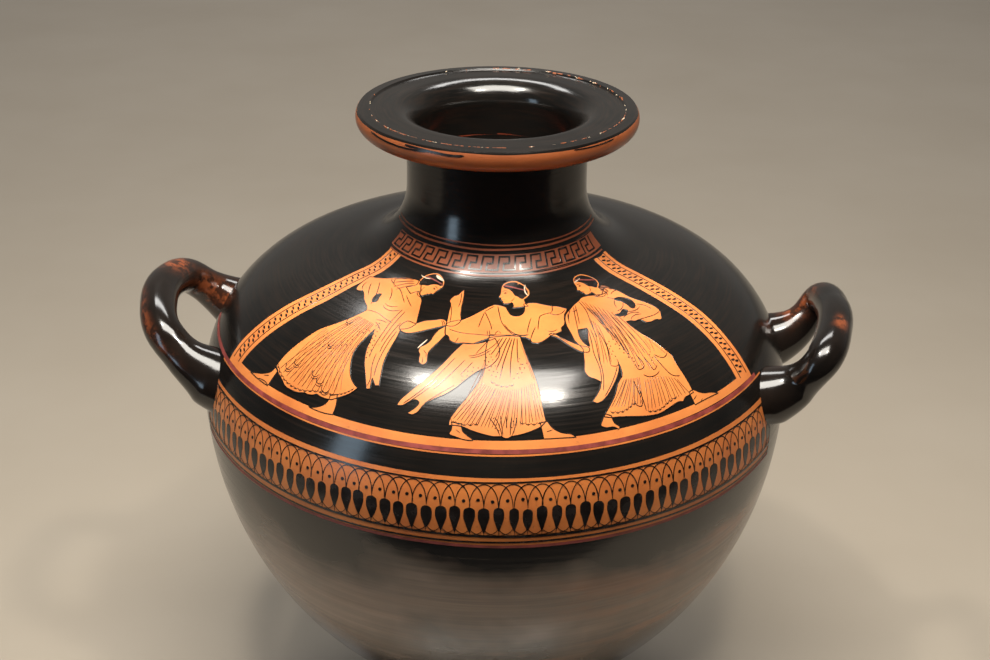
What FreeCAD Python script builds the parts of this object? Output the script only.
import FreeCAD, Part
import math
import os

import Sketcher
from FreeCAD import Placement, Rotation, Vector

# A hydria of the kalpis shape: a wheel-thrown water jar with an open mouth, two side handles
# canted upwards and one upright handle behind the neck. The clay pieces are thrown or rolled
# apart and luted together with slip, so each is its own solid and meets its neighbour face to
# face. The jar stands on z = 0 with its axis on +Z, its painted front towards -Y and the
# upright handle towards +Y. Millimetres and degrees.

SIZES = {
    "wall": 6.0,
    # The outline's stations, from the mouth down: radius, height, and how far the outward
    # normal rises above the horizontal. Each arc runs from the station above it.
    "neck_top_r": 47.5,
    "neck_top_z": 361.5,
    "neck_top_slope": 0.0,
    "neck_waist_r": 47.5,
    "neck_waist_z": 332.5,
    "neck_waist_slope": 0.0,
    "neck_flare_arc": 35.4,
    "neck_base_r": 52.24,
    "neck_base_z": 314.8,
    "neck_base_slope": 30.0,
    "shoulder_inner_r": 77.36,
    "shoulder_inner_z": 297.54,
    "shoulder_inner_slope": 81.0,
    "shoulder_arc": 197.0,
    "shoulder_outer_r": 111.65,
    "shoulder_outer_z": 288.9,
    "shoulder_outer_slope": 70.7,
    "turn_arc": 72.4,
    "girth_r": 160.12,
    "girth_z": 220.57,
    "girth_slope": 0.0,
    "belly_arc": 213.6,
    "belly_r": 105.26,
    "belly_z": 77.64,
    "belly_slope": -42.0,
    "tail_arc": 437.0,
    "tail_r": 50.17,
    "tail_z": 26.0,
    "tail_slope": -51.84,
    # The mouth: a rounded side, a flat ring with a small step inside it, and a trumpet throat.
    "lip_under_r": 66.0,
    "lip_under_z": 362.4,
    "lip_side_arc": 7.2,
    "lip_edge_r": 71.8,
    "lip_edge_z": 373.9,
    "lip_ridge_r": 66.4,
    "lip_ridge_z": 374.3,
    "lip_step_r": 65.4,
    "lip_step_z": 373.4,
    "throat_edge_r": 54.3,
    "throat_edge_z": 373.6,
    "throat_arc": 12.5,
    # The foot: a thick disc with a rounded side, hollow beneath.
    "foot_rest_inner_r": 59.0,
    "foot_rest_outer_r": 69.5,
    "foot_side_arc": 9.4,
    "foot_side_top_r": 69.0,
    "foot_side_top_z": 17.0,
    "foot_cove_arc": 14.0,
    "foot_top_r": 58.5,
    "foot_hollow_r": 37.0,
    # The rolled fillet of clay in the corner between the foot and the body.
    "fillet_r": 55.4,
    "fillet_rise": 3.2,
    "fillet_in_r": 54.25,
    "fillet_arc": 1.9,
    # The side handles: a round bar bent into a wide loop. The two were bent by hand, so each
    # has its own shape. The arms part outwards by the spread, or close where it is negative.
    "bar_r": 9.8,
    "bar_root_r": 16.5,
    "flare_length": 40.0,
    "loop_root_depth": 25.0,
    "loop_reach": 41.2,
    "left_half_span": 45.5,
    "left_spread": -6.5,
    "left_corner_arc": 22.0,
    "right_half_span": 41.2,
    "right_spread": 3.5,
    "right_corner_arc": 15.0,
    # Where each loop stands on the girth, how far it is canted up and how far it is twisted.
    "left_azimuth": 181.1,
    "left_stand_r": 152.3,
    "left_stand_z": 238.4,
    "left_cant": 44.5,
    "left_roll": 0.7,
    "right_azimuth": -11.4,
    "right_stand_r": 152.3,
    "right_stand_z": 240.0,
    "right_cant": 43.8,
    "right_roll": -8.3,
    # The upright handle behind the neck.
    "back_bar_r": 8.6,
    "back_bar_root_r": 13.0,
    "back_root_r": 40.0,
    "back_root_z": 344.0,
    "back_corner_r": 104.0,
    "back_foot_r": 125.0,
    "back_foot_z": 270.0,
    "back_corner_arc": 48.0,
    "back_azimuth": 90.0,
}

STATIONS = ["neck_top", "neck_waist", "neck_base", "shoulder_inner", "shoulder_outer",
            "girth", "belly", "tail"]
# The arc that leads from each station to the next: its radius, and +1 where it is hollow
# towards the outside (the neck's flare) or -1 where it bulges. None is a straight run.
ARCS = {
    "neck_top": None,
    "neck_waist": ("neck_flare_arc", 1),
    "neck_base": ("neck_flare_arc", 1),
    "shoulder_inner": ("shoulder_arc", -1),
    "shoulder_outer": ("turn_arc", -1),
    "girth": ("belly_arc", -1),
    "belly": ("tail_arc", -1),
}

doc = FreeCAD.newDocument("kalpis")


def make_sheet():
    sheet = doc.addObject("Spreadsheet::Sheet", "Sizes")
    for row, (name, value) in enumerate(SIZES.items(), start=1):
        sheet.set(f"A{row}", name)
        sheet.set(f"B{row}", str(value))
        sheet.setAlias(f"B{row}", name)
    doc.recompute()
    return sheet


def cell(name):
    return f"Sizes.{name}"


def make_body(name):
    return doc.addObject("PartDesign::Body", name)


def make_sketch(body, name, plane_role):
    sketch = body.newObject("Sketcher::SketchObject", name)
    plane = next(part for part in body.Origin.OriginFeatures if part.Role == plane_role)
    sketch.AttachmentSupport = [(plane, "")]
    sketch.MapMode = "FlatFace"
    return sketch


def bind(sketch, constraint, expression):
    index = sketch.addConstraint(constraint)
    sketch.setExpression(f"Constraints[{index}]", expression)


def place_point(sketch, geometry, end, point):
    """Tie one end of a line or arc to its two expressions; "0" ties it to the axis."""
    for axis, kind, expression in ((-2, "DistanceX", point[0]), (-1, "DistanceY", point[1])):
        if expression == "0":
            sketch.addConstraint(Sketcher.Constraint("PointOnObject", geometry, end, axis))
            continue
        value = float(sketch.evalExpression(expression))
        bind(sketch, Sketcher.Constraint(kind, -1, 1, geometry, end, value), expression)


def arc_through(start, end, radius, turn):
    """The arc from start to end that turns left (+1) or right (-1)."""
    chord = end - start
    half = chord.Length / 2
    left = Vector(-chord.y, chord.x, 0).normalize()
    centre = start + chord * 0.5 + left * (turn * math.sqrt(radius ** 2 - half ** 2))
    first, last = (start, end) if turn > 0 else (end, start)
    angles = [math.atan2(p.y - centre.y, p.x - centre.x) for p in (first, last)]
    if angles[1] < angles[0]:
        angles[1] += 2 * math.pi
    return Part.ArcOfCircle(Part.Circle(centre, Vector(0, 0, 1), radius), *angles)


def draw_outline(sketch, corners):
    """Close an outline from (x, y, edge) corners, where edge leads to the next corner.

    x and y are expressions. edge is None for a straight run or (radius expression, turn).
    """
    points = [Vector(*[float(sketch.evalExpression(text)) for text in corner[:2]], 0)
              for corner in corners]
    ends = []
    for index, (_, _, edge) in enumerate(corners):
        start, end = points[index], points[(index + 1) % len(points)]
        if edge is None:
            geometry = sketch.addGeometry(Part.LineSegment(start, end))
            ends.append((geometry, 1, 2))
            continue
        radius = float(sketch.evalExpression(edge[0]))
        geometry = sketch.addGeometry(arc_through(start, end, radius, edge[1]))
        ends.append((geometry, 1, 2) if edge[1] > 0 else (geometry, 2, 1))
    for index, (geometry, first, last) in enumerate(ends):
        following, following_first, _ = ends[(index + 1) % len(ends)]
        sketch.addConstraint(
            Sketcher.Constraint("Coincident", geometry, last, following, following_first))
        place_point(sketch, geometry, first, corners[index][:2])
        if corners[index][2] is not None:
            expression = corners[index][2][0]
            value = float(sketch.evalExpression(expression))
            bind(sketch, Sketcher.Constraint("Radius", geometry, value), expression)


def revolve(name, corners):
    """A body turned on the wheel: its outline in the XZ plane, swept once round the axis."""
    body = make_body(name)
    sketch = make_sketch(body, f"{name}_outline", "XZ_Plane")
    draw_outline(sketch, corners)
    turned = body.newObject("PartDesign::Revolution", f"{name}_turned")
    turned.Profile = sketch
    turned.ReferenceAxis = (sketch, ["V_Axis"])
    turned.Angle = 360
    sketch.Visibility = False
    return body


def outer_corner(station):
    return cell(f"{station}_r"), cell(f"{station}_z")


def inner_corner(station):
    """The point of the inner wall straight behind a station, along the wall's normal."""
    slope = cell(f"{station}_slope")
    return (f"{cell(station + '_r')} - {cell('wall')} * cos({slope})",
            f"{cell(station + '_z')} - {cell('wall')} * sin({slope})")


def outer_run(first, last):
    """Corners down the outside from one station to another, without the last corner."""
    names = STATIONS[STATIONS.index(first):STATIONS.index(last)]
    run = []
    for name in names:
        arc = ARCS[name]
        edge = (cell(arc[0]), arc[1]) if arc else None
        run.append((*outer_corner(name), edge))
    return run


def inner_run(last, first):
    """Corners up the inside from one station to another, without the last corner."""
    names = STATIONS[STATIONS.index(first):STATIONS.index(last)]
    run = []
    lower = last
    for name in reversed(names):
        arc = ARCS[name]
        edge = None
        if arc:
            sign = "+" if arc[1] > 0 else "-"
            edge = (f"{cell(arc[0])} {sign} {cell('wall')}", -arc[1])
        run.append((*inner_corner(lower), edge))
        lower = name
    return run


def thrown_wall(name, first, last):
    """A thrown section of the jar between two stations, open at both ends."""
    corners = outer_run(first, last) + [(*outer_corner(last), None)]
    corners += inner_run(last, first) + [(*inner_corner(first), None)]
    return revolve(name, corners)


def make_lower_body():
    corners = outer_run("girth", "tail")
    corners += [(*outer_corner("tail"), None), ("0", cell("tail_z"), None)]
    corners += [("0", inner_corner("tail")[1], None)]
    corners += inner_run("tail", "girth") + [(*inner_corner("girth"), None)]
    return revolve("lower_body", corners)


def make_mouth():
    bore = f"{cell('neck_top_r')} - {cell('wall')}"
    return revolve("mouth", [
        (bore, cell("neck_top_z"), None),
        (cell("neck_top_r"), cell("neck_top_z"), None),
        (cell("lip_under_r"), cell("lip_under_z"), (cell("lip_side_arc"), 1)),
        (cell("lip_edge_r"), cell("lip_edge_z"), None),
        (cell("lip_ridge_r"), cell("lip_ridge_z"), None),
        (cell("lip_step_r"), cell("lip_step_z"), None),
        (cell("throat_edge_r"), cell("throat_edge_z"), (cell("throat_arc"), 1)),
    ])


def make_foot():
    return revolve("foot", [
        (cell("foot_rest_inner_r"), "0", None),
        (cell("foot_rest_outer_r"), "0", (cell("foot_side_arc"), 1)),
        (cell("foot_side_top_r"), cell("foot_side_top_z"), (cell("foot_cove_arc"), -1)),
        (cell("foot_top_r"), cell("tail_z"), None),
        (cell("foot_hollow_r"), cell("tail_z"), None),
    ])


def make_foot_fillet():
    return revolve("foot_fillet", [
        (cell("tail_r"), cell("tail_z"), None),
        (cell("fillet_r"), cell("tail_z"), (cell("fillet_arc"), 1)),
        (cell("fillet_in_r"), f"{cell('tail_z')} + {cell('fillet_rise')}", None),
    ])


def make_envelope():
    """The jar's outside as one closed solid, which trims the handles' roots."""
    corners = outer_run("neck_top", "tail") + [(*outer_corner("tail"), None)]
    corners += [("0", cell("tail_z"), None), ("0", cell("neck_top_z"), None)]
    return revolve("envelope", corners)


def draw_path(sketch, points, corner_arc):
    """An open path of straight runs through the points, each corner rounded by an arc."""
    corners = [Vector(*[float(sketch.evalExpression(text)) for text in point], 0)
               for point in points]
    corner_points = []
    for point, corner in zip(points, corners):
        geometry = sketch.addGeometry(Part.Point(corner))
        sketch.setConstruction(geometry, True)
        place_point(sketch, geometry, 1, point)
        corner_points.append(geometry)
    radius = SIZES[corner_arc]
    starts, ends, arcs = [corners[0]], [], []
    for before, corner, after in zip(corners, corners[1:], corners[2:]):
        back = (before - corner).normalize()
        ahead = (after - corner).normalize()
        setback = radius / math.tan(back.getAngle(ahead) / 2)
        turn = 1 if back.cross(ahead).z < 0 else -1
        ends.append(corner + back * setback)
        starts.append(corner + ahead * setback)
        arcs.append((arc_through(ends[-1], starts[-1], radius, turn), turn))
    ends.append(corners[-1])
    runs = [sketch.addGeometry(Part.LineSegment(start, end))
            for start, end in zip(starts, ends)]
    sketch.addConstraint(Sketcher.Constraint("Coincident", runs[0], 1, corner_points[0], 1))
    sketch.addConstraint(Sketcher.Constraint("Coincident", runs[-1], 2, corner_points[-1], 1))
    for index, (shape, turn) in enumerate(arcs):
        arc = sketch.addGeometry(shape)
        first, last = (1, 2) if turn > 0 else (2, 1)
        before, after = runs[index], runs[index + 1]
        corner = corner_points[index + 1]
        sketch.addConstraint(Sketcher.Constraint("PointOnObject", corner, 1, before))
        sketch.addConstraint(Sketcher.Constraint("PointOnObject", corner, 1, after))
        sketch.addConstraint(Sketcher.Constraint("Tangent", before, 2, arc, first))
        sketch.addConstraint(Sketcher.Constraint("Tangent", arc, last, after, 1))
        bind(sketch, Sketcher.Constraint("Radius", arc, radius), cell(corner_arc))
    return corners


def root_frame(root, following):
    """The frame at one end of a bar, its Z along the bar."""
    return Placement(root, Rotation(Vector(0, 0, 1), following - root))


def make_handle(name, points, corner_arc, bar, root, placement, envelope):
    """A round bar swept along its path, flared where it is luted on, cut to the jar's wall."""
    body = make_body(f"{name}_blank")
    path = make_sketch(body, f"{name}_path", "XY_Plane")
    corners = draw_path(path, points, corner_arc)
    section = make_sketch(body, f"{name}_section", "XY_Plane")
    section.AttachmentOffset = root_frame(corners[0], corners[1])
    circle = section.addGeometry(Part.Circle(Vector(0, 0, 0), Vector(0, 0, 1), SIZES[bar]))
    section.addConstraint(Sketcher.Constraint("Coincident", circle, 3, -1, 1))
    bind(section, Sketcher.Constraint("Radius", circle, SIZES[bar]), cell(bar))
    pipe = body.newObject("PartDesign::AdditivePipe", f"{name}_bar")
    pipe.Profile = section
    pipe.Spine = path
    plane = next(part for part in body.Origin.OriginFeatures if part.Role == "XY_Plane")
    for number, ends in enumerate(((corners[0], corners[1]), (corners[-1], corners[-2]))):
        flare = body.newObject("PartDesign::AdditiveCone", f"{name}_flare_{number + 1}")
        flare.AttachmentSupport = [(plane, "")]
        flare.MapMode = "FlatFace"
        flare.AttachmentOffset = root_frame(*ends)
        flare.setExpression("Radius1", cell(root))
        flare.setExpression("Radius2", cell(bar))
        flare.setExpression("Height", cell("flare_length"))
    body.Placement = placement
    trimmed = doc.addObject("Part::Cut", name)
    trimmed.Base = body
    trimmed.Tool = envelope
    return trimmed


def side_placement(side):
    """Stand a flat loop out from the girth: X along the wall, Y outwards, then canted up."""
    stand = Vector(SIZES[f"{side}_stand_r"], 0, 0)
    heading = Rotation(Vector(0, 0, 1), SIZES[f"{side}_azimuth"])
    turned = heading * Rotation(Vector(0, 0, 1), -90)
    turned = turned * Rotation(Vector(0, 1, 0), SIZES[f"{side}_roll"])
    turned = turned * Rotation(Vector(1, 0, 0), SIZES[f"{side}_cant"])
    base = heading.multVec(stand) + Vector(0, 0, SIZES[f"{side}_stand_z"])
    return Placement(base, turned)


def make_side_handle(side, envelope):
    half_span, spread = cell(f"{side}_half_span"), f"tan({cell(side + '_spread')})"
    half_root = f"({half_span} - {cell('loop_root_depth')} * {spread})"
    half_tip = f"({half_span} + {cell('loop_reach')} * {spread})"
    points = [
        (f"-{half_root}", f"-{cell('loop_root_depth')}"),
        (f"-{half_tip}", cell("loop_reach")),
        (half_tip, cell("loop_reach")),
        (half_root, f"-{cell('loop_root_depth')}"),
    ]
    return make_handle(f"{side}_handle", points, f"{side}_corner_arc", "bar_r", "bar_root_r",
                       side_placement(side), envelope)


def make_back_handle(envelope):
    points = [
        (cell("back_root_r"), cell("back_root_z")),
        (cell("back_corner_r"), cell("back_root_z")),
        (cell("back_foot_r"), cell("back_foot_z")),
    ]
    turned = Rotation(Vector(0, 0, 1), SIZES["back_azimuth"]) * Rotation(Vector(1, 0, 0), 90)
    return make_handle("back_handle", points, "back_corner_arc", "back_bar_r",
                       "back_bar_root_r", Placement(Vector(), turned), envelope)


def check_document():
    """A failed object doesn't raise by itself, so each one's state is read."""
    for item in doc.Objects:
        faults = [state for state in item.State if state in ("Invalid", "Error")]
        if faults:
            raise RuntimeError(f"{item.Name} is {faults}")


def export_parts(parts):
    os.makedirs("parts", exist_ok=True)
    for part in parts:
        shape = part.Shape
        if shape.isNull() or not shape.isValid() or len(shape.Solids) != 1:
            raise RuntimeError(f"{part.Name} has no sound solid")
        part.Label = part.Name
        shape.exportStep(f"parts/{part.Name}.step")
        box = shape.BoundBox
        print(f"{part.Name}: {shape.Volume / 1000:.1f} cm3, z {box.ZMin:.1f} to {box.ZMax:.1f}")


make_sheet()
envelope = make_envelope()
parts = [
    make_foot(),
    make_foot_fillet(),
    make_lower_body(),
    thrown_wall("shoulder", "neck_base", "girth"),
    thrown_wall("neck", "neck_top", "neck_base"),
    make_mouth(),
    make_side_handle("left", envelope),
    make_side_handle("right", envelope),
    make_back_handle(envelope),
]
doc.recompute()
check_document()
export_parts(parts)
